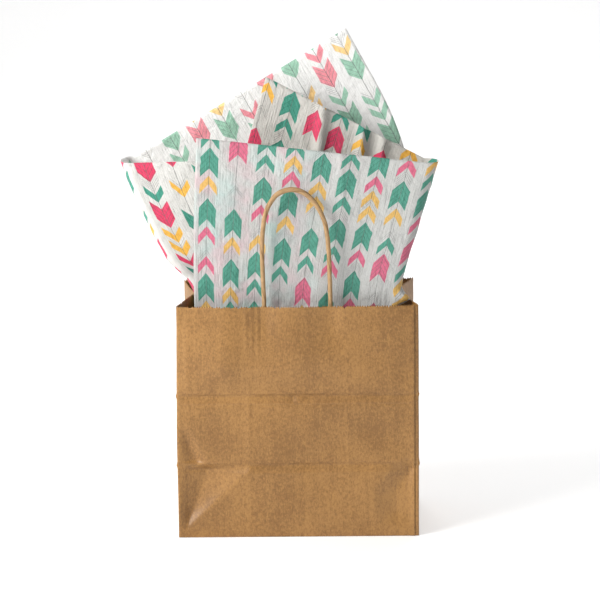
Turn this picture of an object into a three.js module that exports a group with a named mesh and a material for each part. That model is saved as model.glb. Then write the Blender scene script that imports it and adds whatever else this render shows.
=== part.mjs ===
// A kraft-paper gift bag with a square bottom, two twisted-paper handles and two printed tissue sheets.
// Millimetres. X is the bag's width, Y its depth (-Y is the front) and Z is up.
// The origin is the centre of the underside of the bag's base.
// The bag is one folded sheet of paper: its panels are separate nodes that meet at the fold lines.

import * as THREE from 'three';

// Bag
const BAG_WIDTH = 205;
const BAG_DEPTH = 120;
const BAG_HEIGHT = 203;
const PAPER = 0.5; // stands for paper of about 0.2 mm
const GAP = 0.3; // between neighbouring pieces
const LEFT_PINCH = 12; // how far each gusset's middle fold leans in at the mouth
const RIGHT_PINCH = 20;
const PINCH_CURVE = 1.3; // above 1, most of the lean is near the mouth
const SEAM_STRIP = 3.5; // width of the glue lap that shows beside the front panel
const SEAM_LAP = 15; // whole width of the glue lap
const BOTTOM_OVERLAP = 14; // how far each bottom flap reaches past the middle
const FLAP_TAPER = 14; // how much narrower a bottom flap is at its free edge, each side
const TUCK_LENGTH = 58;
const TUCK_TIP_HALF = 12;

// Handles
const CORD = 3.8;
const CORD_SIDES = 8;
const CORD_STEPS = 32;
const HANDLE_FOOT = 2.5; // height of the moving arch's feet above the mouth
const LEG_X = 28; // half the distance between a handle's legs, at the glued ends
const GLUED_LENGTH = 38;
const PATCH_WIDTH = 130;
const PATCH_HEIGHT = 38;
const PATCH_DROP = 8; // from the mouth down to the top of the patch
const PATCH_PAPER = 0.4;

// Centreline of a handle, from foot to foot: x, and height above the mouth
const HANDLE_ROUTE = [
  [-28, HANDLE_FOOT], [-28.5, 18], [-29, 36], [-29, 52], [-28, 66], [-26, 77.5], [-22, 87],
  [-16.5, 94], [-10, 97.6], [-3.2, 98.6], [3.2, 97.4], [9.8, 93.5], [15.8, 87], [20.5, 79],
  [24, 70], [26, 58], [27, 44], [27.6, 26], [28, HANDLE_FOOT],
];

// Tissue
const TISSUE = 1; // stands for crumpled tissue of about 0.03 mm
const TISSUE_FOOT = 3; // height of its lower edge above the base
const LEAF_COLUMNS = 24;
const LEAF_ROWS = 20;
const PLEAT_DEPTH = 1.6;
const PLEATS = 3.5;
const FRONT_LEAF_Y = -48;
const FLAP_Y = -32;
const REAR_LEAF_Y = -14;
const BACK_LEAF_Y = 6;
const BACK_LEAF_LEAN = 8; // how far the tip of the rearmost leaf leans back
const LEAN_START = 203; // height where that lean begins
const LEAN_RISE = 227; // and the rise over which it grows
const FOLD_BULGE = 1.5;

const halfWidth = BAG_WIDTH / 2;
const halfDepth = BAG_DEPTH / 2;
const innerHalfWidth = halfWidth - PAPER - GAP;
const innerHalfDepth = halfDepth - PAPER - GAP;
const cordY = halfDepth - PAPER - GAP - PATCH_PAPER - GAP - CORD / 2;
const creaseHeight = halfDepth; // where a gusset's diagonal folds meet
const bottomStack = 3 * (PAPER + GAP); // height of the folded bottom's three layers

function material(color, roughness) {
  return new THREE.MeshStandardMaterial({ color, roughness, metalness: 0 });
}

const kraft = () => material(0xba8e5e, 0.85);
const twistedKraft = () => material(0xc8a069, 0.8);
const printedTissue = () => material(0xd7d4d0, 0.75);

const group = new THREE.Group();

function add(name, geometry, surface, position = [0, 0, 0]) {
  const mesh = new THREE.Mesh(geometry, surface);
  mesh.name = name;
  mesh.position.set(...position);
  group.add(mesh);
}

// Closed solid of one thickness round the surface point(u, v), with u and v from 0 to 1.
// The thickness lies along one axis, so that neighbours keep their gap.
function sheetSolid(point, columns, rows, thickness, axis) {
  const offset = new THREE.Vector3();
  offset[axis] = thickness / 2;
  const positions = [];
  const across = columns + 1;
  const side = across * (rows + 1);
  for (const sign of [1, -1]) {
    for (let j = 0; j <= rows; j += 1) {
      for (let i = 0; i <= columns; i += 1) {
        const p = point(i / columns, j / rows).addScaledVector(offset, sign);
        positions.push(p.x, p.y, p.z);
      }
    }
  }
  const indices = [];
  const quad = (a, b, c, d) => indices.push(a, b, c, a, c, d);
  for (let j = 0; j < rows; j += 1) {
    for (let i = 0; i < columns; i += 1) {
      const a = j * across + i;
      quad(a, a + 1, a + 1 + across, a + across);
      quad(side + a, side + a + across, side + a + 1 + across, side + a + 1);
    }
  }
  for (let i = 0; i < columns; i += 1) {
    const top = rows * across + i;
    quad(i, side + i, side + i + 1, i + 1);
    quad(top, top + 1, side + top + 1, side + top);
  }
  for (let j = 0; j < rows; j += 1) {
    const left = j * across;
    const right = left + columns;
    quad(left, left + across, side + left + across, side + left);
    quad(right, side + right, side + right + across, right + across);
  }
  const geometry = new THREE.BufferGeometry();
  geometry.setAttribute('position', new THREE.Float32BufferAttribute(positions, 3));
  geometry.setIndex(volume(positions, indices) < 0 ? indices.reverse() : indices);
  return geometry;
}

// Six times the signed volume: positive when the faces point out
function volume(positions, indices) {
  const corner = (k) => new THREE.Vector3().fromArray(positions, indices[k] * 3);
  let sum = 0;
  for (let k = 0; k < indices.length; k += 3) {
    sum += corner(k).dot(corner(k + 1).cross(corner(k + 2)));
  }
  return sum;
}

function plate(outline, thickness) {
  const shape = new THREE.Shape(outline.map(([x, y]) => new THREE.Vector2(x, y)));
  return new THREE.ExtrudeGeometry(shape, { depth: thickness, bevelEnabled: false });
}

// Front and back panels, and the side seam's glue lap behind the front panel's right edge
function addPanels() {
  const frontWidth = BAG_WIDTH - SEAM_STRIP;
  add('front_panel', new THREE.BoxGeometry(frontWidth, PAPER, BAG_HEIGHT), kraft(),
    [-SEAM_STRIP / 2, -halfDepth + PAPER / 2, BAG_HEIGHT / 2]);
  add('back_panel', new THREE.BoxGeometry(BAG_WIDTH, PAPER, BAG_HEIGHT), kraft(),
    [0, halfDepth - PAPER / 2, BAG_HEIGHT / 2]);
  const lapHeight = BAG_HEIGHT - bottomStack;
  add('side_seam_flap', new THREE.BoxGeometry(SEAM_LAP, PAPER, lapHeight), kraft(),
    [halfWidth - SEAM_LAP / 2, -innerHalfDepth + PAPER / 2, bottomStack + lapHeight / 2]);
}

// One gusset: a flat triangle under the diagonal folds, and two halves that lean in to a middle fold
function addGusset(name, side, pinch) {
  const wall = halfWidth - PAPER / 2;
  const lean = (z) => Math.max(0, (z - creaseHeight) / (BAG_HEIGHT - creaseHeight)) ** PINCH_CURVE;
  const half = (end, corner) => (u, v) => {
    const y = corner * (1 - u) + (GAP / 2) * u;
    const foot = creaseHeight - y + GAP;
    const z = foot + (BAG_HEIGHT - foot) * v;
    return new THREE.Vector3(side * (wall - pinch * u * lean(z)), end * y, z);
  };
  const seamed = side > 0 ? innerHalfDepth - PAPER - GAP : innerHalfDepth;
  add(`${name}_front_half`, sheetSolid(half(-1, seamed), 8, 12, PAPER, 'x'), kraft());
  add(`${name}_back_half`, sheetSolid(half(1, innerHalfDepth), 8, 12, PAPER, 'x'), kraft());
  const reach = creaseHeight - GAP;
  const outline = [[-seamed, 0], [innerHalfDepth, 0], [innerHalfDepth, reach - innerHalfDepth],
    [0, reach], [-seamed, reach - seamed]];
  const base = plate(outline, PAPER);
  const basis = new THREE.Matrix4().makeBasis(
    new THREE.Vector3(0, 1, 0), new THREE.Vector3(0, 0, 1), new THREE.Vector3(1, 0, 0));
  base.applyMatrix4(basis);
  add(`${name}_base`, base, kraft(), [side > 0 ? halfWidth - PAPER : -halfWidth, 0, 0]);
}

// The square bottom: two side tucks under two long flaps that overlap in the middle
function addBottom() {
  const near = -innerHalfDepth;
  const outline = [[-innerHalfWidth, near], [innerHalfWidth, near],
    [innerHalfWidth - FLAP_TAPER, BOTTOM_OVERLAP], [-innerHalfWidth + FLAP_TAPER, BOTTOM_OVERLAP]];
  const turned = outline.map(([x, y]) => [-x, -y]);
  add('front_bottom_flap', plate(outline, PAPER), kraft());
  add('back_bottom_flap', plate(turned, PAPER), kraft(), [0, 0, PAPER + GAP]);
  const tip = innerHalfWidth - TUCK_LENGTH;
  const root = innerHalfDepth - GAP;
  const tuck = [[tip, -TUCK_TIP_HALF], [innerHalfWidth, -root], [innerHalfWidth, root],
    [tip, TUCK_TIP_HALF]];
  const height = 2 * (PAPER + GAP);
  add('right_bottom_tuck', plate(tuck, PAPER), kraft(), [0, 0, height]);
  add('left_bottom_tuck', plate(tuck.map(([x, y]) => [-x, -y]), PAPER), kraft(), [0, 0, height]);
}

// One handle: the arch that swings, its two glued ends, and the two paper patches that hold them.
// end is -1 at the front panel and 1 at the back panel.
function addHandle(name, end) {
  const patchZ = BAG_HEIGHT - PATCH_DROP - PATCH_HEIGHT / 2;
  const outerY = innerHalfDepth - PATCH_PAPER / 2;
  const innerY = cordY - CORD / 2 - GAP - PATCH_PAPER / 2;
  const patch = () => new THREE.BoxGeometry(PATCH_WIDTH, PATCH_PAPER, PATCH_HEIGHT);
  add(`${name}_outer_patch`, patch(), kraft(), [0, end * outerY, patchZ]);
  add(`${name}_inner_patch`, patch(), kraft(), [0, end * innerY, patchZ]);
  const endTop = BAG_HEIGHT + HANDLE_FOOT - GAP;
  for (const [word, x] of [['left', -LEG_X], ['right', LEG_X]]) {
    const glued = new THREE.CylinderGeometry(CORD / 2, CORD / 2, GLUED_LENGTH, CORD_SIDES);
    glued.rotateX(Math.PI / 2);
    add(`${name}_${word}_glued_end`, glued, twistedKraft(),
      [x, end * cordY, endTop - GLUED_LENGTH / 2]);
  }
  add(`${name}_arch`, cordAlong(HANDLE_ROUTE, end * cordY), twistedKraft());
}

function cordAlong(route, y) {
  const points = route.map(([x, rise]) => new THREE.Vector3(x, y, BAG_HEIGHT + rise));
  const section = new THREE.Shape();
  for (let i = 0; i < CORD_SIDES; i += 1) {
    const turn = (2 * Math.PI * i) / CORD_SIDES;
    const corner = [(CORD / 2) * Math.cos(turn), (CORD / 2) * Math.sin(turn)];
    if (i === 0) section.moveTo(...corner);
    else section.lineTo(...corner);
  }
  const options = { steps: CORD_STEPS, extrudePath: new THREE.CatmullRomCurve3(points) };
  return new THREE.ExtrudeGeometry(section, options);
}

// The place [x, z] at v, from 0 to 1, on an edge given by points at equal steps
function onEdge(edge, v) {
  const place = v * (edge.length - 1);
  const k = Math.min(Math.floor(place), edge.length - 2);
  const share = place - k;
  return edge[k].map((value, i) => value * (1 - share) + edge[k + 1][i] * share);
}

// One leaf of tissue between a left and a right edge, standing at depth y with shallow pleats
function leaf(left, right, y, lean = 0) {
  const point = (u, v) => {
    const [x0, z0] = onEdge(left, v);
    const [x1, z1] = onEdge(right, v);
    const z = z0 + (z1 - z0) * u;
    const pleat = PLEAT_DEPTH * Math.sin(Math.PI * 2 * PLEATS * u) * Math.sin(Math.PI * u);
    const back = lean * Math.max(0, (z - LEAN_START) / LEAN_RISE);
    return new THREE.Vector3(x0 + (x1 - x0) * u, y + pleat + back, z);
  };
  return sheetSolid(point, LEAF_COLUMNS, LEAF_ROWS, TISSUE, 'y');
}

// The side fold that joins a sheet's two leaves. side is the way it bulges along X.
function sideFold(frontEdge, rearEdge, frontY, rearY, side) {
  const clear = side * (TISSUE / 2 + GAP);
  const point = (u, v) => {
    const [x0, z0] = onEdge(frontEdge, v);
    const [x1, z1] = onEdge(rearEdge, v);
    const x = x0 + (x1 - x0) * u + clear + side * FOLD_BULGE * Math.sin(Math.PI * u);
    return new THREE.Vector3(x, frontY + (rearY - frontY) * u, z0 + (z1 - z0) * u);
  };
  return sheetSolid(point, 8, LEAF_ROWS, TISSUE, 'x');
}

// The sheet in front: its front leaf shows the pale reverse side, and it folds back at the right
function addFrontTissue() {
  const foot = TISSUE_FOOT;
  const left = [[-83, foot], [-85, 105], [-87.5, 203], [-86, 274], [-83, 345]];
  const right = [[79, foot], [82, 105], [86, 203], [101.5, 262], [118, 322]];
  const rearLeft = [[-74, foot], [-76, 105], [-78, 203], [-54, 298], [-25, 392]];
  const rearRight = [[74, foot], [76, 105], [79, 203], [99, 262], [117, 321]];
  add('front_tissue_front_leaf', leaf(left, right, FRONT_LEAF_Y), printedTissue());
  add('front_tissue_rear_leaf', leaf(rearLeft, rearRight, REAR_LEAF_Y), printedTissue());
  add('front_tissue_side_fold',
    sideFold(right, rearRight, FRONT_LEAF_Y, REAR_LEAF_Y, 1), printedTissue());
}

// The sheet behind: its back leaf is turned so that one corner stands highest, and its front flap
// lies between the leaves of the sheet in front. It folds forward at the left.
function addRearTissue() {
  const foot = TISSUE_FOOT;
  const fold = [[-83, foot], [-84.5, 105], [-86.5, 203], [-112, 240], [-133, 282], [-147, 322]];
  const flapRight = [[20, foot], [24, 105], [28, 203], [14, 244], [-4, 284], [-22, 324]];
  const backRight = [[78, foot], [80, 105], [82, 203], [98, 288], [84, 352], [43.5, 430]];
  add('rear_tissue_front_flap', leaf(fold, flapRight, FLAP_Y), printedTissue());
  add('rear_tissue_back_leaf', leaf(fold, backRight, BACK_LEAF_Y, BACK_LEAF_LEAN), printedTissue());
  add('rear_tissue_side_fold', sideFold(fold, fold, FLAP_Y, BACK_LEAF_Y, -1), printedTissue());
}

addPanels();
addGusset('left_gusset', -1, LEFT_PINCH);
addGusset('right_gusset', 1, RIGHT_PINCH);
addBottom();
addHandle('front_handle', -1);
addHandle('back_handle', 1);
addFrontTissue();
addRearTissue();

export default group;
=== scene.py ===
"""A kraft-paper gift bag with twisted-paper handles and two sheets of printed tissue paper.

The scene is in metres and in the CAD frame: +X is the bag's width, -Y its front, +Z is up, and the
origin is the centre of the underside of its base. Shapes are worked out in millimetres, which MM turns
into metres. The camera, the lights and the bumps are given in metres.
"""

import math

import bmesh
import bpy
import numpy as np
from mathutils import Matrix, Vector, noise


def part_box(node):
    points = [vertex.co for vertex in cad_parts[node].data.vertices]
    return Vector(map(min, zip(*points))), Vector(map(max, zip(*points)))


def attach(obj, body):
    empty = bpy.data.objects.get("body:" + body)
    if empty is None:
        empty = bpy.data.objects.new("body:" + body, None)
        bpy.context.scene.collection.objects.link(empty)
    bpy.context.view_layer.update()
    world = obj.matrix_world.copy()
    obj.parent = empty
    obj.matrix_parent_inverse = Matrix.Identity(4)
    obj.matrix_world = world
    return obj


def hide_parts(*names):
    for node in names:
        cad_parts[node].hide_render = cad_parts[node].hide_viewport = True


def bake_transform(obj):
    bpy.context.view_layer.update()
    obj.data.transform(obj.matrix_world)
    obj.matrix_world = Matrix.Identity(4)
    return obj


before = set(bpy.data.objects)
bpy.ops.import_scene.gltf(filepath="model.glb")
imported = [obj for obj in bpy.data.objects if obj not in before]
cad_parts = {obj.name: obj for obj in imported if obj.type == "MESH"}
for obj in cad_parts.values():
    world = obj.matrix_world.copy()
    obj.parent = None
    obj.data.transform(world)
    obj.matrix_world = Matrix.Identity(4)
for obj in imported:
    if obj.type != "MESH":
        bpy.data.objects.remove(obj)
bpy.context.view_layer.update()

MM = 0.001

# The bag, from the frame
HALF_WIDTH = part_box("back_panel")[1][0] / MM
HALF_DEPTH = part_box("back_panel")[1][1] / MM
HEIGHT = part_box("back_panel")[1][2] / MM
FRONT_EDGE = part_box("front_panel")[1][0] / MM
CAD_PAPER = 0.5  # thickness of the CAD model's panels
left_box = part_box("left_gusset_front_half")
right_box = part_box("right_gusset_front_half")
LEFT_PINCH = (left_box[1][0] - left_box[0][0]) / MM - CAD_PAPER
RIGHT_PINCH = (right_box[1][0] - right_box[0][0]) / MM - CAD_PAPER
LAP_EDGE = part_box("side_seam_flap")[0][0] / MM
LOW_CREASE = HALF_DEPTH + 4  # heights of the two level creases
HIGH_CREASE = 2 * HALF_DEPTH + 5
GUSSET_FOLD = HALF_WIDTH - HALF_DEPTH  # where a gusset's middle fold lies when the bag is flat
PINCH_CURVE = 1.3  # over 1, so that the gussets lean in ever more towards the mouth
PAPER = 0.35  # thickness of the walls
PATCH_PAPER = 0.25
LAP_STEP = 0.55  # how far the glue lap lies behind the front panel
MOUTH_BOW = 2.2  # how far the front and back stand out at the middle of the mouth
CORD_ROOM = 1.9  # how far they are pressed back where a hanging cord lies over them
INNER_PATCH = 1.5  # how far inside its panel the inner patch lies between the cord's ends
SEAM_LIFT = 0.3  # how far the front panel's free edge stands off the lap
SKEW = 1.8  # how much further out the left side is below the low crease than at the mouth
FOLD_RADIUS = 1.0  # how far from a fold's line its rounding starts
WALL_STEP = 1.05  # about how far apart the wall's columns are
LAP_COLUMNS = 17  # the wall's last columns, which are the glue lap and its rounded corner

# The handles
CORD = 3.8
CORD_Y = (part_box("back_handle_arch")[0][1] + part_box("back_handle_arch")[1][1]) / 2 / MM
GLUED_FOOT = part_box("front_handle_left_glued_end")[0][2] / MM
CORD_STEP = 0.8  # between the cord's rings
LEG_X = 28
TWIST_PITCH = 36  # length of cord for one turn
TOP_SWELL = 0.17  # how much fatter the cord is at the top of its arch, where the bend loosens its twist
TOP_LENGTH = 26
# Points of the arch, as x and height above the mouth
HANDLE_ROUTE = [
    (-28, 2.5), (-28.5, 18), (-29, 36), (-29, 52), (-28, 66), (-26, 77.5), (-22, 87),
    (-16.5, 94), (-10, 97.6), (-3.2, 98.6), (3.2, 97.4), (9.8, 93.5), (15.8, 87), (20.5, 79),
    (24, 70), (26, 58), (27, 44), (27.6, 26), (28, 2.5),
]

# The tissue sheets
TISSUE = 0.14
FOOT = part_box("front_tissue_front_leaf")[0][2] / MM + 2
HEM_TOP = 92  # height that the turned-up hem reaches
HEM_SPACE = 4  # between the hem and its leaf
HEM_ROWS = 30
TISSUE_FOLD = 9.0  # how far before its side fold a leaf starts to turn
PRINT_SHIFT = 18  # along the tilted top edge, on the rear sheet's back leaf
LEAF_COLUMNS = 90
FOLD_COLUMNS = 26
LEAF_ROWS = 130

# The studio, in metres
FLOOR_GAP = 0.0003  # between the bag and the floor, so that their faces stay apart
FLOOR_BACK = 1.6  # where the floor starts to curve up
SWEEP = 0.8  # radius of that curve


def smooth(low, high, value):
    """0 below low, 1 above high, and a smooth step between."""
    t = np.clip((value - low) / (high - low), 0, 1)
    return t * t * (3 - 2 * t)


def spline(points, places):
    """Points on a Catmull-Rom curve through points, which are at equal steps of 0 to 1."""
    p = np.array(points, float)
    ends = np.vstack([2 * p[0] - p[1], p, 2 * p[-1] - p[-2]])
    at = np.clip(np.asarray(places, float), 0, 1) * (len(p) - 1)
    k = np.minimum(at.astype(int), len(p) - 2)
    t = (at - k)[..., None]
    a, b, c, d = ends[k], ends[k + 1], ends[k + 2], ends[k + 3]
    return 0.5 * (2 * b + (c - a) * t + (2 * a - 5 * b + 4 * c - d) * t**2 + (3 * b - a - 3 * c + d) * t**3)


def wrinkle(points, scale, seed=0.0):
    """Smooth noise from -1 to 1 at points in millimetres, with lumps of about scale millimetres."""
    shift = Vector((seed, 2 * seed, 3 * seed))
    flat = np.asarray(points, float).reshape(-1, 3) / scale
    values = [noise.noise(Vector(p) + shift) for p in flat]
    return np.array(values).reshape(np.shape(points)[:-1])


def sharp_wrinkle(points, scale, seed=0.0):
    """Noise with sharp ridges, as creased paper has."""
    return 1 - 2 * np.abs(wrinkle(points, scale, seed)) ** 0.7


def grid_mesh(name, grid, uv=None):
    """A mesh over a grid of points in millimetres, with an optional UV grid."""
    rows, columns = grid.shape[:2]
    points = (grid.reshape(-1, 3) * MM).tolist()
    at = np.arange(rows * columns).reshape(rows, columns)
    faces = np.stack([at[:-1, :-1], at[:-1, 1:], at[1:, 1:], at[1:, :-1]], axis=-1).reshape(-1, 4)
    mesh = bpy.data.meshes.new(name)
    mesh.from_pydata(points, [], faces.tolist())
    if uv is not None:
        layer = mesh.uv_layers.new(name="sheet")
        corners = np.array([loop.vertex_index for loop in mesh.loops])
        layer.data.foreach_set("uv", uv.reshape(-1, 2)[corners].astype(np.float32).ravel())
    mesh.polygons.foreach_set("use_smooth", [True] * len(mesh.polygons))
    piece = bpy.data.objects.new(name, mesh)
    bpy.context.scene.collection.objects.link(piece)
    return piece


def apply_modifiers(piece):
    """Replaces the piece's mesh by what its modifiers make of it."""
    graph = bpy.context.evaluated_depsgraph_get()
    made = bpy.data.meshes.new_from_object(piece.evaluated_get(graph), depsgraph=graph)
    piece.modifiers.clear()
    piece.data = made


def thicken(piece, thickness, back_slot=0):
    """Gives a sheet its paper's thickness. Its back has the material back_slot slots further on."""
    solid = piece.modifiers.new("paper", "SOLIDIFY")
    solid.thickness = thickness * MM
    solid.offset = 0
    solid.use_even_offset = False
    solid.material_offset = back_slot
    apply_modifiers(piece)


# ---------------------------------------------------------------- camera


def add_camera():
    """The camera: a long lens about two metres away, a little above the bag."""
    azimuth, elevation, roll = math.radians(-0.77), math.radians(11.57), math.radians(-0.68)
    distance, target = 2.0, Vector((0.0016, 0, 0.1957))
    forward = Vector((math.sin(azimuth) * math.cos(elevation),
                      math.cos(azimuth) * math.cos(elevation),
                      -math.sin(elevation)))
    right = Vector((math.cos(azimuth), -math.sin(azimuth), 0))
    up = right.cross(forward)
    turned_right = right * math.cos(roll) + up * math.sin(roll)
    turned_up = up * math.cos(roll) - right * math.sin(roll)
    basis = Matrix((turned_right, turned_up, -forward)).transposed().to_4x4()
    lens = bpy.data.cameras.new("camera")
    lens.lens = 137.9
    lens.sensor_width = 36
    camera = bpy.data.objects.new("camera", lens)
    camera.matrix_world = Matrix.Translation(target - forward * distance) @ basis
    bpy.context.scene.collection.objects.link(camera)
    bpy.context.scene.camera = camera


# ---------------------------------------------------------------- material helpers


class Field:
    """A number that varies over a surface, worked out by a shader's math nodes."""

    def __init__(self, tree, socket):
        self.tree = tree
        self.socket = socket

    def math(self, operation, *others, clamp=False):
        node = self.tree.nodes.new("ShaderNodeMath")
        node.operation = operation
        node.use_clamp = clamp
        for socket, value in zip(node.inputs, (self, *others)):
            if isinstance(value, Field):
                self.tree.links.new(value.socket, socket)
            else:
                socket.default_value = value
        return Field(self.tree, node.outputs[0])

    def __add__(self, other):
        return self.math("ADD", other)

    def __sub__(self, other):
        return self.math("SUBTRACT", other)

    def __mul__(self, other):
        return self.math("MULTIPLY", other)

    def __truediv__(self, other):
        return self.math("DIVIDE", other)

    def floor(self):
        return self.math("FLOOR")

    def size(self):
        return self.math("ABSOLUTE")

    def below(self, limit, softness):
        """1 where the number is below limit and 0 above it, with an edge that is softness wide."""
        return ((self * -1) + limit).math("DIVIDE", softness).math("ADD", 0.5, clamp=True)

    def above(self, limit, softness):
        return (self - limit).math("DIVIDE", softness).math("ADD", 0.5, clamp=True)


def new_material(name, roughness):
    """A node material with a Principled shader: the material, its tree and the shader."""
    material = bpy.data.materials.new(name)
    material.use_nodes = True
    tree = material.node_tree
    shader = tree.nodes["Principled BSDF"]
    shader.inputs["Roughness"].default_value = roughness
    return material, tree, shader


def object_points(tree, stretch=(1, 1, 1)):
    """Object coordinates, scaled by stretch."""
    where = tree.nodes.new("ShaderNodeTexCoord")
    scaled = tree.nodes.new("ShaderNodeMapping")
    scaled.inputs["Scale"].default_value = stretch
    tree.links.new(where.outputs["Object"], scaled.inputs["Vector"])
    return scaled.outputs["Vector"]


def noise_field(tree, vector, scale, detail=3.0, roughness=0.55):
    """Noise from 0 to 1 as a Field."""
    node = tree.nodes.new("ShaderNodeTexNoise")
    node.inputs["Scale"].default_value = scale
    node.inputs["Detail"].default_value = detail
    node.inputs["Roughness"].default_value = roughness
    tree.links.new(vector, node.inputs["Vector"])
    return Field(tree, node.outputs["Fac"])


def mix(tree, share, first, second, blend="MIX"):
    """A colour mixed from two colours or colour sockets."""
    node = tree.nodes.new("ShaderNodeMix")
    node.data_type = "RGBA"
    node.blend_type = blend
    if isinstance(share, Field):
        tree.links.new(share.socket, node.inputs["Factor"])
    else:
        node.inputs["Factor"].default_value = share
    for socket, value in ((node.inputs[6], first), (node.inputs[7], second)):
        if isinstance(value, tuple):
            socket.default_value = (*value, 1)
        else:
            tree.links.new(value, socket)
    return node.outputs[2]


def bump(tree, shader, height, distance, strength=1.0):
    """Adds a height Field, in metres when distance is 1, to what already bends the shader's normal."""
    node = tree.nodes.new("ShaderNodeBump")
    node.inputs["Distance"].default_value = distance
    node.inputs["Strength"].default_value = strength
    tree.links.new(height.socket, node.inputs["Height"])
    if shader.inputs["Normal"].is_linked:
        tree.links.new(shader.inputs["Normal"].links[0].from_socket, node.inputs["Normal"])
    tree.links.new(node.outputs["Normal"], shader.inputs["Normal"])


# ---------------------------------------------------------------- materials


def kraft_material(name, light, dark, speck):
    """Brown kraft paper: upright fibres, cloudy pulp and a few dark specks."""
    material, tree, shader = new_material(name, 0.5)
    shader.inputs["Specular IOR Level"].default_value = 0.6
    upright = object_points(tree, (1, 1, 0.4))
    plain = object_points(tree)
    fibres = noise_field(tree, upright, 900, 4, 0.7)
    streaks = noise_field(tree, object_points(tree, (1, 1, 0.03)), 200, 2)
    clouds = noise_field(tree, plain, 15, 3, 0.55)
    pulp = noise_field(tree, plain, 420, 3, 0.7)
    tone = (fibres * 0.36 + streaks * 0.1 + clouds * 0.26 + pulp * 0.28).math(
        "SUBTRACT", 0.5).math("MULTIPLY", 7.0).math("ADD", 0.5, clamp=True)
    colour = mix(tree, tone, dark, light)
    specks = noise_field(tree, upright, 1500, 1).above(0.7, 0.06)
    colour = mix(tree, specks * 0.35, colour, speck)
    tree.links.new(colour, shader.inputs["Base Color"])
    tree.links.new((fibres * 0.16 + 0.41).socket, shader.inputs["Roughness"])
    bump(tree, shader, fibres * 0.6 + pulp * 0.4, 0.00006)
    bump(tree, shader, streaks, 0.00008)
    return material


def cord_material():
    """Twisted kraft paper: fine lines that run round the cord with its twist."""
    material, tree, shader = new_material("twisted_paper", 0.66)
    shader.inputs["Specular IOR Level"].default_value = 0.3
    where = tree.nodes.new("ShaderNodeUVMap")
    where.uv_map = "sheet"
    split = tree.nodes.new("ShaderNodeSeparateXYZ")
    tree.links.new(where.outputs["UV"], split.inputs[0])
    around = Field(tree, split.outputs["X"])
    along = Field(tree, split.outputs["Y"])
    turned = around - along / TWIST_PITCH
    seam = (turned - turned.floor() - 0.5).size()
    spread = tree.nodes.new("ShaderNodeCombineXYZ")
    tree.links.new((turned * 9.0).socket, spread.inputs["X"])
    tree.links.new((along * 0.05).socket, spread.inputs["Y"])
    lines = noise_field(tree, spread.outputs["Vector"], 2.2, 4, 0.7)
    mottle = noise_field(tree, object_points(tree), 320, 3)
    tone = (lines * 0.6 + mottle * 0.4 - 0.5).math("MULTIPLY", 2.4).math("ADD", 0.5, clamp=True)
    colour = mix(tree, tone, (0.25, 0.145, 0.065), (0.50, 0.325, 0.165))
    colour = mix(tree, seam.below(0.05, 0.06) * 0.6, colour, (0.20, 0.11, 0.045))
    tree.links.new(colour, shader.inputs["Base Color"])
    bump(tree, shader, lines, 0.00016)
    bump(tree, shader, mottle, 0.00005)
    return material


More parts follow.
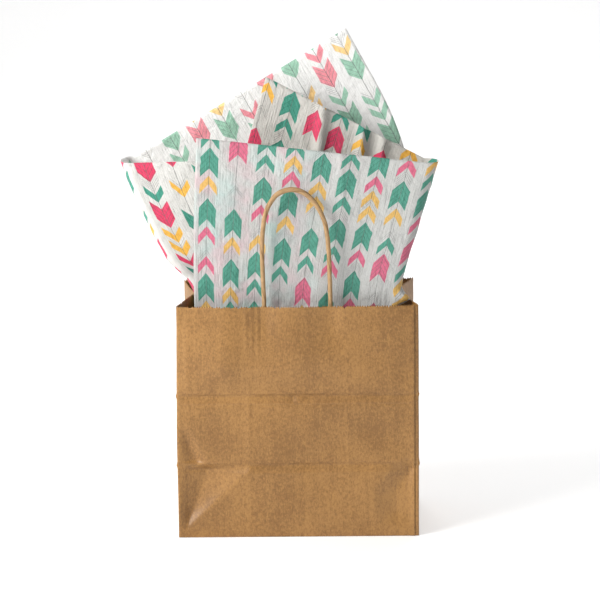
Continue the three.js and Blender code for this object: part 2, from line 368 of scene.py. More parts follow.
class Print:
    """The tissue's print in shader nodes: feathers and chevrons in columns along thin shafts."""

    COLUMN = 24.0  # millimetres between shafts
    UNIT = 107.0  # millimetres after which a column's row of marks starts again
    STAGGER = 0.39  # of a unit, from one column to the next
    HALF = 7.8  # half the width of a mark
    SLOPE = 1.15  # of a mark's shoulders
    NOTCH = 0.15  # how much flatter the notch under a feather is
    FEATHER = 18.0  # length of a feather along its shaft
    CHEVRON = 7.2  # and of a chevron
    EDGE = 0.35  # softness of a printed edge
    # Each mark's length, the height of its tip in the unit, and how often it is left out
    MARKS = [(FEATHER, 106.0, 0.0), (CHEVRON, 82.0, 0.12), (FEATHER, 63.0, 0.0),
             (CHEVRON, 39.0, 0.1), (CHEVRON, 26.5, 0.35), (CHEVRON, 13.5, 0.45)]
    FEATHER_INKS = (0.68, 0.32, 0.0)  # shares of teal, pink and yellow
    CHEVRON_INKS = (0.40, 0.24, 0.36)
    HATCHES = [(68.5, 3.6), (16.8, 2.2)]  # middle and half height of the finely hatched stretches
    HATCH_HALF = 6.8  # half their width
    HATCH_PITCH = 2.2  # between their lines
    VEIN_PITCH = 4.6  # between the veins of a feather

    def __init__(self, tree, seed):
        self.tree = tree
        self.seed = seed

    def chance(self, first, second, salt):
        """A random number from 0 to 1 for each pair of whole numbers."""
        pair = self.tree.nodes.new("ShaderNodeCombineXYZ")
        self.tree.links.new(first.socket, pair.inputs["X"])
        if second is not None:
            self.tree.links.new(second.socket, pair.inputs["Y"])
        pair.inputs["Z"].default_value = self.seed + salt
        white = self.tree.nodes.new("ShaderNodeTexWhiteNoise")
        self.tree.links.new(pair.outputs["Vector"], white.inputs["Vector"])
        return Field(self.tree, white.outputs["Value"])

    def masks(self, across, along):
        """Where each ink is printed, from 0 to 1: teal, pink and yellow, then veins and fine lines."""
        column = (across / self.COLUMN).floor()
        aside = (across - (column + 0.5) * self.COLUMN).size()
        shift = (column * self.STAGGER + self.chance(column, None, 1) * 0.2) * self.UNIT
        raised = along + shift + aside * self.SLOPE
        unit = (raised / self.UNIT).floor()
        arrow = raised - unit * self.UNIT
        width = aside.below(self.HALF, self.EDGE)
        notched = arrow - aside * self.NOTCH
        inks = [None, None, None]
        feathers = None
        for salt, (length, tip, left_out) in enumerate(self.MARKS, 2):
            is_feather = length == self.FEATHER
            foot = (notched if is_feather else arrow).above(tip - length, self.EDGE)
            mark = arrow.below(tip, self.EDGE) * foot * width
            if is_feather:
                feathers = mark if feathers is None else feathers + mark
            pick = self.chance(column, unit, salt)
            low = left_out
            for k, share in enumerate(self.FEATHER_INKS if is_feather else self.CHEVRON_INKS):
                reach = share * (1 - left_out) / 2
                if reach > 0:
                    printed = mark * pick.math("COMPARE", low + reach, reach)
                    inks[k] = printed if inks[k] is None else inks[k] + printed
                low += 2 * reach
        step = arrow / self.VEIN_PITCH
        veins = (step - step.floor() - 0.5).size().below(0.07, 0.07) * feathers
        step = arrow / self.HATCH_PITCH
        lines = (step - step.floor() - 0.5).size().below(0.1, 0.08)
        hatch = lines * aside.below(self.HATCH_HALF, 1.0)
        stretches = None
        for middle, reach in self.HATCHES:
            stretch = arrow.math("COMPARE", middle, reach)
            stretches = stretch if stretches is None else stretches + stretch
        shaft = aside.below(0.3, 0.3)
        return (*inks, veins, (hatch * stretches).math("MAXIMUM", shaft))


def tissue_material(name, seed, paper, teal, pink, yellow, ghost):
    """One side of a tissue sheet. ghost is how strongly what lies behind it shows through, blurred."""
    material, tree, shader = new_material(name, 0.55)
    shader.inputs["Specular IOR Level"].default_value = 0.25
    where = tree.nodes.new("ShaderNodeUVMap")
    where.uv_map = "sheet"
    split = tree.nodes.new("ShaderNodeSeparateXYZ")
    tree.links.new(where.outputs["UV"], split.inputs[0])
    spread = tree.nodes.new("ShaderNodeMapping")
    spread.inputs["Scale"].default_value = (1000, 1000, 1000)
    tree.links.new(where.outputs["UV"], spread.inputs["Vector"])
    sheet_mm = spread.outputs["Vector"]
    waver = noise_field(tree, sheet_mm, 0.16, 2) * 1.6 - 0.8
    across = Field(tree, split.outputs["X"]) * 1000.0 + waver
    along = Field(tree, split.outputs["Y"]) * 1000.0 + waver * 0.6
    pattern = Print(tree, seed)
    colour = paper
    if ghost > 0:
        region = across.below(112, 70)
        for scale, shift, tint in ((0.026, 1.0, (0.46, 0.64, 0.61)), (0.036, 1.7, (0.72, 0.50, 0.54))):
            moved = tree.nodes.new("ShaderNodeMapping")
            moved.inputs["Location"].default_value = (31 * shift, 47 * shift, 0)
            tree.links.new(sheet_mm, moved.inputs["Vector"])
            blot = noise_field(tree, moved.outputs["Vector"], scale, 2, 0.5).above(0.55, 0.2)
            colour = mix(tree, blot * region * ghost, colour, tint)
    wash = noise_field(tree, sheet_mm, 0.3, 4, 0.65) * 0.6 + 0.7
    masks = pattern.masks(across, along)
    for mask, ink in zip(masks[:3], (teal, pink, yellow)):
        inked = mix(tree, 1.0, ink, grey(tree, wash), "MULTIPLY")
        colour = mix(tree, mask * 0.96, colour, inked)
    colour = mix(tree, masks[3] * 0.5, colour, tuple(0.4 * part for part in teal))
    colour = mix(tree, masks[4] * 0.62, colour, (0.14, 0.14, 0.14))
    tree.links.new(colour, shader.inputs["Base Color"])
    streaked = tree.nodes.new("ShaderNodeMapping")
    streaked.inputs["Scale"].default_value = (1000, 60, 1)
    tree.links.new(where.outputs["UV"], streaked.inputs["Vector"])
    streaks = noise_field(tree, streaked.outputs["Vector"], 0.9, 3, 0.6)
    bump(tree, shader, streaks, 0.0009)
    bump(tree, shader, noise_field(tree, sheet_mm, 0.13, 4, 0.55), 0.0019)
    through = tree.nodes.new("ShaderNodeBsdfTranslucent")
    tree.links.new(colour, through.inputs["Color"])
    blend = tree.nodes.new("ShaderNodeMixShader")
    blend.inputs["Fac"].default_value = 0.25
    tree.links.new(shader.outputs["BSDF"], blend.inputs[1])
    tree.links.new(through.outputs["BSDF"], blend.inputs[2])
    tree.links.new(blend.outputs["Shader"], tree.nodes["Material Output"].inputs["Surface"])
    return material


def grey(tree, field):
    """A grey colour socket whose brightness is the field."""
    node = tree.nodes.new("ShaderNodeCombineColor")
    for socket in node.inputs[:3]:
        tree.links.new(field.socket, socket)
    return node.outputs["Color"]


# ---------------------------------------------------------------- handles


def handle_points(end):
    """The cord's centreline, from the foot of its left glued end to the foot of the right one."""
    y = end * CORD_Y
    rise = [(-LEG_X, y, z) for z in np.arange(GLUED_FOOT + 0.5, HEIGHT - 1, 6)]
    arch = [(x, y, HEIGHT + above) for x, above in HANDLE_ROUTE]
    drop = [(LEG_X, y, z) for z in np.arange(GLUED_FOOT + 0.5, HEIGHT - 1, 6)[::-1]]
    return np.array(rise + arch + drop)


def even_curve(points, step):
    """Points at even steps on the smooth curve through points."""
    fine = spline(points, np.linspace(0, 1, 40 * len(points)))
    run = np.concatenate([[0], np.cumsum(np.linalg.norm(np.diff(fine, axis=0), axis=1))])
    places = np.linspace(0, run[-1], int(run[-1] / step) + 1)
    return np.stack([np.interp(places, run, fine[:, i]) for i in range(3)], axis=1), run[-1]


def add_handle(name, end, material):
    """One twisted-paper cord, swept round its route with the groove of its twist."""
    line, length = even_curve(handle_points(end), CORD_STEP)
    sides = 28
    along = np.linspace(0, length, len(line))
    tangent = np.gradient(line, axis=0)
    tangent /= np.linalg.norm(tangent, axis=1, keepdims=True)
    out = np.array([0.0, 1.0, 0.0])
    side = np.cross(tangent, out)
    side /= np.linalg.norm(side, axis=1, keepdims=True)
    angle = np.linspace(0, 2 * math.pi, sides + 1)
    turn = angle[None, :] / (2 * math.pi) - along[:, None] / TWIST_PITCH
    from_seam = np.abs(turn - np.floor(turn) - 0.5)
    groove = np.exp(-((from_seam / 0.045) ** 2))
    lobes = np.cos(2 * math.pi * 3 * turn)
    at_top = np.exp(-(((along[:, None] - length / 2) / TOP_LENGTH) ** 2))
    radius = CORD / 2 * (1.0 - 0.11 * groove + 0.025 * lobes + TOP_SWELL * at_top)
    grid = (line[:, None, :]
            + radius[..., None] * (np.cos(angle)[None, :, None] * side[:, None, :]
                                   + np.sin(angle)[None, :, None] * out))
    grid = grid + 0.12 * wrinkle(grid, 7, 3)[..., None] * out
    uv = np.stack(np.broadcast_arrays(angle[None, :] / (2 * math.pi), along[:, None]), axis=-1)
    piece = grid_mesh(name, grid, uv)
    close_tube(piece, len(line), sides)
    piece.data.materials.append(material)
    path = [tuple(p * MM) for p in line[::6]] + [tuple(line[-1] * MM)]
    body = "front_handle" if end < 0 else "back_handle"
    for node in ("left_glued_end", "right_glued_end", "arch"):
        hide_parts(f"{body}_{node}")
    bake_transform(piece)
    return piece


def close_tube(piece, rows, sides):
    """Joins the tube's two long edges and caps its ends."""
    mesh = bmesh.new()
    mesh.from_mesh(piece.data)
    bmesh.ops.remove_doubles(mesh, verts=mesh.verts, dist=1e-7)
    rims = [e for e in mesh.edges if e.is_boundary]
    bmesh.ops.holes_fill(mesh, edges=rims, sides=0)
    bmesh.ops.recalc_face_normals(mesh, faces=mesh.faces)
    mesh.to_mesh(piece.data)
    mesh.free()


# ---------------------------------------------------------------- bag


def pinch(side, z):
    """How far a gusset's middle fold leans in at height z."""
    depth = LEFT_PINCH if side < 0 else RIGHT_PINCH
    lean = np.clip((z - HALF_DEPTH) / (HEIGHT - HALF_DEPTH), 0, 1) ** PINCH_CURVE
    return depth * lean


def rounded_path(corners, radius, step):
    """Plan points along straight runs between corners, with small round folds at the inner ones."""
    made = []
    corners = [np.array(c, float) for c in corners]
    start = corners[0]
    for before, here, after in zip(corners, corners[1:], corners[2:]):
        back = (before - here) / np.linalg.norm(before - here)
        on = (after - here) / np.linalg.norm(after - here)
        enter, leave = here + back * radius, here + on * radius
        count = max(1, int(round(np.linalg.norm(enter - start) / step)))
        made += [start + (enter - start) * i / count for i in range(count)]
        for t in (0, 0.25, 0.5, 0.75):
            made.append((1 - t) ** 2 * enter + 2 * t * (1 - t) * here + t * t * leave)
        start = leave
    count = max(1, int(round(np.linalg.norm(corners[-1] - start) / step)))
    made += [start + (corners[-1] - start) * i / count for i in range(count + 1)]
    return np.array(made)


def wall_plan(z):
    """The wall's outline seen from above at height z, from the front panel's free edge round to the
    glue lap behind it."""
    left, right = pinch(-1, z), pinch(1, z)
    return [
        (FRONT_EDGE, -HALF_DEPTH), (-HALF_WIDTH, -HALF_DEPTH), (-HALF_WIDTH + left, 0),
        (-HALF_WIDTH, HALF_DEPTH), (HALF_WIDTH, HALF_DEPTH), (HALF_WIDTH - right, 0),
        (HALF_WIDTH, -HALF_DEPTH + LAP_STEP), (LAP_EDGE, -HALF_DEPTH + LAP_STEP),
    ]


def wall_rows():
    """Heights of the wall's rows, closer together at the creases and the mouth."""
    rows = set(np.round(np.arange(0, HEIGHT - 2, 3.0), 2))
    for crease in (LOW_CREASE, HIGH_CREASE):
        rows |= set(np.round(crease + np.arange(-9, 4.1, 0.8), 2))
    rows |= {0.6, 1.5, HEIGHT - 6, HEIGHT - 3, HEIGHT - 1.4, HEIGHT}
    return np.array(sorted(rows))


def crease(away, depth, above, below):
    """A valley fold: away is the height over it, and above and below are how far its slopes reach."""
    return -depth * np.clip(np.where(away > 0, 1 - away / above, 1 + away / below), 0, 1)


def between_lines(x, z, points):
    """The x, at each height z, of the line through points of (x, z) that go upwards."""
    line = np.array(points, float)
    return np.interp(z, line[:, 1], line[:, 0])


def front_dents(x, z):
    """How the front panel stands out (mm) beside its folded corners and over its soft vertical folds."""
    # Below the low crease: a dent at the left with a ridge beside it, and a dent at the right
    low = smooth(2, 24, z) * smooth(LOW_CREASE + 1, LOW_CREASE - 5, z)
    valley = between_lines(x, z, [(-96, 8), (-79, 56)])
    ridge = between_lines(x, z, [(-95, 8), (-42, 60)])
    fall = np.clip((x + HALF_WIDTH) / (valley + HALF_WIDTH), 0, 1)
    rise = np.clip((x - valley) / (ridge - valley), 0, 1)
    dents = low * (-4.6 * fall * (1 - rise) + 0.9 * rise * np.exp(-np.clip(x - ridge, 0, None) / 9))
    valley = between_lines(x, z, [(86, 8), (82, 38), (97, 58)])
    fall = smooth(-22, 0, x - valley)
    rise = np.clip((x - valley) / (HALF_WIDTH + 1 - valley), 0, 1)
    dents -= 3.6 * low * fall * (1 - rise)
    # Just above the low crease: a dent at the left, narrower towards its top
    edge = between_lines(x, z, [(-86, LOW_CREASE), (-HALF_WIDTH + 2, LOW_CREASE + 36)])
    over = smooth(LOW_CREASE, LOW_CREASE + 4, z) * smooth(LOW_CREASE + 37, LOW_CREASE + 18, z)
    fall = np.clip((x + HALF_WIDTH) / (edge + HALF_WIDTH), 0, 1)
    dents -= 3.4 * over * fall * smooth(10, 0, x - edge)
    # Above the high crease: a broad swell that falls away to the right, and fine upright ribs
    high = smooth(HIGH_CREASE + 2, HIGH_CREASE + 28, z)
    swell = 4.6 * smooth(-102, -58, x) - 1.9 * smooth(-62, -42, x) + 1.3 * smooth(-42, 0, x)
    swell -= 5.4 * np.clip((x + 5) / 109, 0, 1)
    dents += high * swell * (1 - 0.55 * smooth(HEIGHT - 45, HEIGHT, z))
    ribs = smooth(-49, -43, x) * smooth(-27, -32, x) * smooth(150, 180, z)
    dents += 0.2 * np.sin((x + 45) * 1.25) * ribs
    # Two small pits beside the creases
    dents -= 0.8 * np.exp(-((x + 5) / 2.6) ** 2 - ((z - HIGH_CREASE + 3) / 3.5) ** 2)
    dents -= 0.9 * np.exp(-((x - 94) / 4) ** 2 - ((z - LOW_CREASE - 3) / 1.8) ** 2)
    return dents


def wall_relief(points, is_front, is_back):
    """How far the wall stands out (mm) at each point: soft waves, the mouth's bow, the room for a
    hanging cord, creases, ridges, dents, and the gussets' own folds."""
    x, z = points[..., 0], points[..., 2]
    face = is_front + is_back
    relief = 1.7 * wrinkle(points, 60, 1) + 0.5 * wrinkle(points, 21, 2) + 0.09 * wrinkle(points, 8, 3)
    relief += 0.16 * sharp_wrinkle(points, 34, 7)
    relief += MOUTH_BOW * (1 - (x / HALF_WIDTH) ** 2) * (z / HEIGHT) ** 2 * face
    legs = np.exp(-(((np.abs(x) - LEG_X) / 9) ** 2)) * smooth(HEIGHT - 40, HEIGHT - 12, z)
    relief -= CORD_ROOM * legs * face
    uneven = 1 + 0.5 * wrinkle(points * [1, 1, 0], 24, 4)
    for height, depth in ((LOW_CREASE, 1.2), (HIGH_CREASE, 1.4)):
        relief += crease(z - height, depth, 2.1, 7.0) * uneven * (0.4 + 0.6 * face)
    relief += crease(z - HIGH_CREASE + 8, 0.25, 1.0, 1.5) * face
    strength = 0.4 + 0.6 * smooth(HIGH_CREASE + 10, HIGH_CREASE - 10, z)
    for line in (-GUSSET_FOLD, GUSSET_FOLD):
        ridge = 0.35 * np.exp(-np.abs(x - line) / 3.0)
        relief += ridge * face * smooth(20, 60, z) * strength
    relief += front_dents(x, z) * is_front + 0.6 * front_dents(-x, z) * is_back
    from_middle = np.abs(points[..., 1])
    diagonal = np.abs(z + from_middle - HALF_DEPTH) / math.sqrt(2)
    folds = 0.9 * np.exp(-from_middle / 1.6) * smooth(HALF_DEPTH - 4, HALF_DEPTH + 8, z)
    folds += 0.7 * np.exp(-diagonal / 1.5) * smooth(HALF_DEPTH + 2, HALF_DEPTH - 2, z)
    relief -= folds * (1 - face)
    return relief * smooth(0, 6, z)


def add_walls(material):
    """The bag's walls: one strip of paper from the front panel's free edge round to the glue lap."""
    rows = wall_rows()
    count = len(rounded_path(wall_plan(0.0), FOLD_RADIUS, WALL_STEP))
    grid = np.zeros((len(rows), count, 3))
    for r, z in enumerate(rows):
        plan = rounded_path(wall_plan(z), FOLD_RADIUS, WALL_STEP)
        run = np.concatenate([[0], np.cumsum(np.linalg.norm(np.diff(plan, axis=0), axis=1))])
        places = np.linspace(0, run[-1], count)
        grid[r, :, 0] = np.interp(places, run, plan[:, 0])
        grid[r, :, 1] = np.interp(places, run, plan[:, 1])
        grid[r, :, 2] = z
    column = np.arange(count)
    lap = smooth(count - LAP_COLUMNS, count - LAP_COLUMNS + 2, column)[None, :]
    is_front = (grid[..., 1] < -HALF_DEPTH + LAP_STEP + 0.15).astype(float)
    is_back = (grid[..., 1] > HALF_DEPTH - 0.2).astype(float)
    free_edge = smooth(FRONT_EDGE - 7, FRONT_EDGE, grid[..., 0]) * (grid[..., 1] < -HALF_DEPTH + 0.2)
    relief = wall_relief(grid, is_front, is_back)
    normal = np.zeros_like(grid)
    step = np.gradient(grid[..., :2], axis=1)
    normal[..., 0], normal[..., 1] = step[..., 1], -step[..., 0]
    normal /= np.linalg.norm(normal, axis=2, keepdims=True)
    away = np.minimum(np.abs(np.abs(grid[..., 0]) - HALF_WIDTH), 8) / 8
    grid -= normal * (relief * (0.15 + 0.85 * away))[..., None]
    grid[..., 1] -= SEAM_LIFT * free_edge
    swung = smooth(-60, -HALF_WIDTH, grid[..., 0]) * smooth(HEIGHT, LOW_CREASE, grid[..., 2])
    grid[..., 0] -= SKEW * swung
    for height in (LOW_CREASE, HIGH_CREASE):
        nub = 0.8 * np.exp(-(((grid[..., 2] - height) / 1.8) ** 2)) * (1 - lap)
        at_corner = smooth(HALF_WIDTH - 4, HALF_WIDTH, np.abs(grid[..., 0]))
        grid[..., 0] += np.sign(grid[..., 0]) * nub * at_corner
    mouth = grid[-1] * [1, 1, 0]
    nicks = np.clip(wrinkle(mouth, 2.3, 11) - 0.3, 0, 0.2) * 6
    teeth = np.where(column % 2 == 0, 0.7, -0.7) + 0.2 * wrinkle(mouth, 26, 5) - nicks
    grid[-1, :, 2] += teeth - 0.3
    grid[-2, :, 2] += 0.15 * teeth - 0.1
    piece = grid_mesh("bag_walls", grid)
    piece.data.materials.append(material)
    thicken(piece, PAPER)
    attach(piece, "bag")
    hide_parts("front_panel", "back_panel", "side_seam_flap")
    for side in ("left", "right"):
        for part in ("front_half", "back_half", "base"):
            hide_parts(f"{side}_gusset_{part}")
    return piece


def add_patches(name, end, material):
    """The two strips of paper that a handle's ends are glued between. The inner one is pressed over
    the cord."""
    for layer in ("outer", "inner"):
        node = f"{name}_{layer}_patch"
        low, high = (np.array(c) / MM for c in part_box(node))
        x = np.linspace(low[0], high[0], 131)
        z = np.linspace(low[2], high[2], 30)
        grid = np.zeros((len(z), len(x), 3))
        grid[..., 0], grid[..., 2] = np.meshgrid(x, z)
        grid[..., 1] = (low[1] + high[1]) / 2
        on_wall = grid.copy()
        on_wall[..., 1] = end * HALF_DEPTH
        bow = end * wall_relief(on_wall, float(end < 0), float(end > 0))
        if layer == "inner":
            reach = np.abs(np.abs(grid[..., 0]) - LEG_X)
            flat_y = end * (HALF_DEPTH - INNER_PATCH) + bow
            press = smooth(7.5, 2.6, reach)
            grid[..., 1] = flat_y + (grid[..., 1] - flat_y) * press
            below = smooth(low[2] + 1.5, low[2] + 6, grid[..., 2])
            grid[..., 1] = flat_y + (grid[..., 1] - flat_y) * np.maximum(below, 0.25)
        else:
            grid[..., 1] += bow
        grid[..., 1] += 0.12 * wrinkle(on_wall, 9, 8)
        piece = grid_mesh(node + "_paper", grid)
        piece.data.materials.append(material)
        thicken(piece, PATCH_PAPER)
        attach(piece, "bag")
        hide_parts(node)


# ---------------------------------------------------------------- tissue


def sheet_grid(front_free, front_fold, rear_fold, rear_free, front_y, rear_y, side):
    """A sheet folded once at its side: rows from its foot to its top, and columns from the front
    leaf's free edge, round the side fold, to the rear leaf's free edge.
    The four edges are curves of x and z. Gives the grid and each column's part of the sheet."""
    v = np.linspace(0, 1, LEAF_ROWS)
    edges = [spline(edge, v) for edge in (front_free, front_fold, rear_fold, rear_free)]
    u = np.linspace(0, 1, LEAF_COLUMNS)[None, :, None]
    inner = []
    for edge in edges[1:3]:
        moved = edge.copy()
        moved[:, 0] -= side * TISSUE_FOLD
        inner.append(moved)
    front = edges[0][:, None, :] * (1 - u) + inner[0][:, None, :] * u
    rear = inner[1][:, None, :] * (1 - u) + edges[3][:, None, :] * u
    turn = np.linspace(0, 1, FOLD_COLUMNS + 2)[1:-1]
    swing = np.pi * (turn - 0.5)
    out = np.cos(swing) ** 0.75
    share = 0.5 + 0.5 * np.sign(np.sin(swing)) * np.abs(np.sin(swing)) ** 0.75
    rear_share = share[None, :, None]
    fold = inner[0][:, None, :] * (1 - rear_share) + inner[1][:, None, :] * rear_share
    fold[..., 0] += side * (TISSUE_FOLD + 1.2) * out[None, :]
    flat = np.concatenate([front, fold, rear], axis=1)
    y = np.concatenate([np.full(LEAF_COLUMNS, front_y),
                        front_y + (rear_y - front_y) * share,
                        np.full(LEAF_COLUMNS, rear_y)])
    grid = np.empty((*flat.shape[:2], 3))
    grid[..., 0], grid[..., 2] = flat[..., 0], flat[..., 1]
    grid[..., 1] = y[None, :]
    part = np.concatenate([np.zeros(LEAF_COLUMNS), turn, np.ones(LEAF_COLUMNS)])
    return grid, part


def plan_normals(grid):
    """Level normals of the grid's rows."""
    step = np.gradient(grid[..., :2], axis=1)
    normal = np.zeros_like(grid)
    normal[..., 0], normal[..., 1] = step[..., 1], -step[..., 0]
    return normal / np.maximum(np.linalg.norm(normal, axis=2, keepdims=True), 1e-9)


def run_length(grid, axis):
    """Length along the grid from its start on that axis."""
    steps = np.linalg.norm(np.diff(grid, axis=axis), axis=2)
    pad = [(0, 0), (0, 0)]
    pad[axis] = (1, 0)
    return np.cumsum(np.pad(steps, pad), axis=axis)


def add_tissue(name, body, grid, uv, materials, seed, inward, nodes):
    """Crumples the grid, folds a hem up inside the bag, and makes the sheet's mesh."""
    z = grid[..., 2]
    normal = plan_normals(grid)
    inside = smooth(HEIGHT + 8, HEIGHT - 20, z)
    near_mouth = np.exp(-(((z - HEIGHT) / 45) ** 2))
    across = np.arange(grid.shape[1])[None, :] / 18.0
    pleats = np.sin(across * 2 * math.pi * 0.37 + seed)
    pleats += 0.6 * np.sin(across * 2 * math.pi * 0.83 + 2 * seed)
    lift = (0.35 + 0.9 * near_mouth + 0.5 * inside) * pleats
    lift += (0.9 + 0.6 * inside) * wrinkle(grid, 42, seed) + 0.35 * wrinkle(grid, 15, seed + 5)
    lift += (0.45 + 0.3 * inside) * sharp_wrinkle(grid, 26, seed + 9)
    lift += 0.16 * sharp_wrinkle(grid, 10, seed + 2)
    crumpled = grid + normal * lift[..., None]
    hem_z = np.linspace(HEM_TOP, FOOT + 1.5, HEM_ROWS)
    low_rows = [int(np.argmin(np.abs(z[:, 0] - h))) for h in hem_z]
    hem = crumpled[low_rows] + inward * normal[low_rows] * HEM_SPACE
    hem[..., 2] = hem_z[:, None] + 3.0 * wrinkle(hem, 30, seed + 3) * smooth(30, 80, hem_z)[:, None]
    whole = np.concatenate([hem, crumpled], axis=0)
    hem_uv = 2 * uv[0] - uv[low_rows]
    whole_uv = np.concatenate([hem_uv, uv], axis=0)
    piece = grid_mesh(name, whole, whole_uv)
    for material in materials:
        piece.data.materials.append(material)
    thicken(piece, TISSUE, back_slot=1)
    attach(piece, body)
    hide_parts(*nodes)
    return piece


def add_front_tissue(materials):
    """The sheet in front: its front leaf shows the reverse side, and it folds back at the right."""
    front_free = [(-83, FOOT), (-85, 105), (-87.5, 203), (-86.5, 274), (-83, 345)]
    front_fold = [(79, FOOT), (82, 105), (86, 203), (101, 262), (118.5, 322)]
    rear_fold = [(74, FOOT), (76, 105), (79, 203), (99, 262), (118, 321)]
    rear_free = [(-74, FOOT), (-76, 105), (-78, 203), (-52, 298), (-25, 392)]
    grid, part = sheet_grid(front_free, front_fold, rear_fold, rear_free, -48, -14, 1)
    x, z = grid[..., 0].copy(), grid[..., 2]
    # An upright crease in the front leaf, slanted pleats in the rear one, and a tuft at the side fold
    grid[..., 1] -= 1.3 * np.exp(-np.abs(x - 38) / 2.5) * smooth(212, 250, z) * (part == 0)
    for place, depth in ((16, 5), (52, 6), (70, 4)):
        pleat = np.exp(-(((x - place - 0.12 * (z - 300)) / 4.5) ** 2)) * smooth(250, 300, z)
        grid[..., 1] -= depth * pleat * (part == 1)
    tuft = np.exp(-(((z - HEIGHT - 3) / 5.5) ** 2) - ((part - 0.25) / 0.2) ** 2) * (part > 0)
    grid[..., 0] += 7 * tuft * (1 + 0.6 * sharp_wrinkle(grid, 5, 2))
    grid[..., 1] -= 2.5 * tuft
    across = run_length(grid, 1)[-1]
    up = run_length(grid, 0)
    uv = np.empty((*grid.shape[:2], 2))
    uv[..., 0] = across[None, :] * MM
    uv[..., 1] = (up - up[-1][None, :]) * MM
    return add_tissue("front_tissue_sheet", "front_tissue", grid, uv, materials, 1.7, -1,
                      ["front_tissue_front_leaf", "front_tissue_rear_leaf", "front_tissue_side_fold"])


def add_rear_tissue(materials):
    """The sheet behind, turned so that one corner stands highest. It folds forward at the left."""
    fold = [(-83, FOOT), (-84.5, 105), (-86.5, 203), (-112, 240), (-133, 282), (-148, 322)]
    flap_free = [(20, FOOT), (24, 105), (28, 203), (14, 244), (-4, 284), (-22, 324)]
    back_free = [(78, FOOT), (80, 105), (82, 203), (98, 288), (84, 352), (43.5, 430)]
    grid, _ = sheet_grid(flap_free, fold, fold, back_free, -32, 6, -1)
    (left_x, left_z), (top_x, top_z) = fold[-1], back_free[-1]
    mouth_z = fold[2][1]
    lean = 8 * np.clip((grid[..., 2] - mouth_z) / (top_z - mouth_z), 0, 1)
    grid[..., 1] += np.where(grid[..., 1] > 0, lean, 0)
    tilt = math.atan2(top_z - left_z, top_x - left_x)
    uv = np.empty((*grid.shape[:2], 2))
    # The print follows the tilted top edge on the back leaf, and the paper's own run on the flap
    flat_x, flat_z = grid[..., 0] - left_x, grid[..., 2] - left_z
    on_back = smooth(-14, 0, grid[..., 1])
    back_s = flat_x * math.cos(tilt) + flat_z * math.sin(tilt)
    back_t = flat_x * math.sin(tilt) - flat_z * math.cos(tilt)
    across = run_length(grid, 1)
    half = grid.shape[1] // 2
    flap_s = across - across[:, half][:, None]
    down = run_length(grid[::-1], 0)[::-1]
    uv[..., 0] = (on_back * (back_s + PRINT_SHIFT) + (1 - on_back) * flap_s) * MM
    uv[..., 1] = (on_back * back_t + (1 - on_back) * down) * MM
    return add_tissue("rear_tissue_sheet", "rear_tissue", grid, uv, materials, 4.3, 1,
                      ["rear_tissue_front_flap", "rear_tissue_back_leaf", "rear_tissue_side_fold"])


# ---------------------------------------------------------------- studio


def add_area_light(name, place, target, size, power, colour=(1, 1, 1)):
    light = bpy.data.lights.new(name, "AREA")
    light.shape = "DISK"
    light.size = size
    light.energy = power
    light.color = colour
    lamp = bpy.data.objects.new(name, light)
    lamp.location = place
    lamp.rotation_euler = (Vector(target) - Vector(place)).to_track_quat("-Z", "Y").to_euler()
    bpy.context.scene.collection.objects.link(lamp)


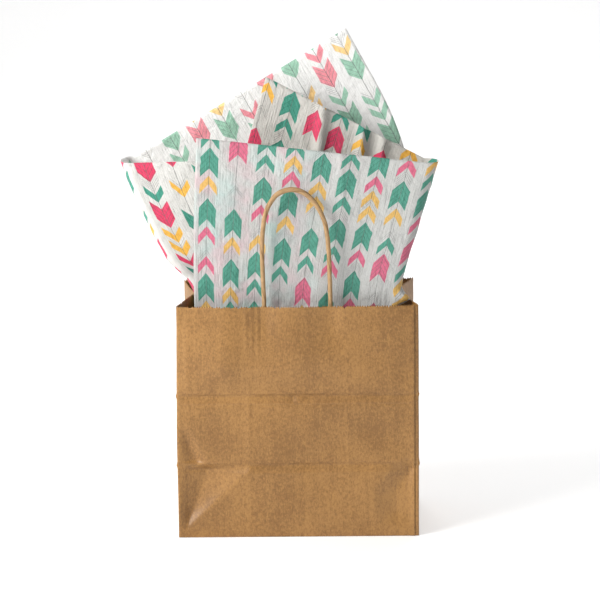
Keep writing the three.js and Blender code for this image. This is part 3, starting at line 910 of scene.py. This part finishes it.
def add_studio():
    """A pale, faintly glowing floor that runs up into a backdrop, and soft lights."""
    profile = [(-3.0, 0.0), (FLOOR_BACK, 0.0)]
    for turn in np.linspace(0.1, math.pi / 2, 12):
        profile.append((FLOOR_BACK + SWEEP * math.sin(turn), SWEEP - SWEEP * math.cos(turn)))
    profile.append((FLOOR_BACK + SWEEP, 3.5))
    grid = np.array([[(x, y, z - FLOOR_GAP) for x in (-4.0, 0.0, 4.0)] for y, z in profile]) / MM
    floor = grid_mesh("floor", grid)
    material, _, shader = new_material("studio_paper", 0.9)
    shader.inputs["Base Color"].default_value = (0.72, 0.72, 0.72, 1)
    shader.inputs["Emission Color"].default_value = (1, 1, 1, 1)
    shader.inputs["Emission Strength"].default_value = 0.36
    floor.data.materials.append(material)
    add_area_light("key", (-0.95, -0.66, 0.8), (0, 0, 0.2), 0.8, 23, (1.0, 0.99, 0.97))
    add_area_light("fill", (1.5, -1.7, 0.7), (0, 0, 0.15), 1.6, 3, (0.98, 0.99, 1.0))
    add_area_light("back", (0.2, 1.4, 1.7), (0, 0, 0.3), 1.4, 24)
    world = bpy.data.worlds.new("studio")
    world.use_nodes = True
    world.node_tree.nodes["Background"].inputs["Color"].default_value = (1, 1, 1, 1)
    world.node_tree.nodes["Background"].inputs["Strength"].default_value = 0.33
    bpy.context.scene.world = world
    bpy.context.scene.view_settings.view_transform = "Standard"


# ---------------------------------------------------------------- the whole bag


def main():
    add_camera()
    cord = cord_material()
    add_handle("front_handle_cord", -1, cord)
    add_handle("back_handle_cord", 1, cord)
    kraft = kraft_material("kraft", (0.358, 0.179, 0.046), (0.205, 0.094, 0.0195), (0.097, 0.042, 0.01))
    patch = kraft_material("patch_kraft", (0.37, 0.19, 0.051), (0.22, 0.106, 0.023), (0.105, 0.046, 0.012))
    add_walls(kraft)
    add_patches("front_handle", -1, patch)
    add_patches("back_handle", 1, patch)
    for node in ("front_bottom_flap", "back_bottom_flap", "left_bottom_tuck", "right_bottom_tuck"):
        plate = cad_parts[node]
        plate.data.materials.clear()
        plate.data.materials.append(kraft)
    vivid = ((0.05, 0.33, 0.24), (0.76, 0.045, 0.14), (0.88, 0.50, 0.07))
    muted = ((0.085, 0.35, 0.26), (0.72, 0.16, 0.27), (0.78, 0.50, 0.14))
    pale_inks = ((0.40, 0.67, 0.52), (0.92, 0.36, 0.42), (0.95, 0.71, 0.32))
    front_inside = tissue_material("front_tissue_printed_side", 3, (0.66, 0.64, 0.60), *vivid, 0.0)
    front_outside = tissue_material("front_tissue_reverse_side", 3, (0.62, 0.625, 0.61), *muted, 0.6)
    rear_inside = tissue_material("rear_tissue_printed_side", 5, (0.72, 0.71, 0.685), *vivid, 0.0)
    # The rear sheet's reverse side is given whiter paper and paler inks than the front sheet's reverse
    # side.
    rear_outside = tissue_material("rear_tissue_reverse_side", 5, (0.90, 0.90, 0.89), *pale_inks, 0.0)
    add_front_tissue([front_outside, front_inside])
    add_rear_tissue([rear_outside, rear_inside])
    add_studio()


main()
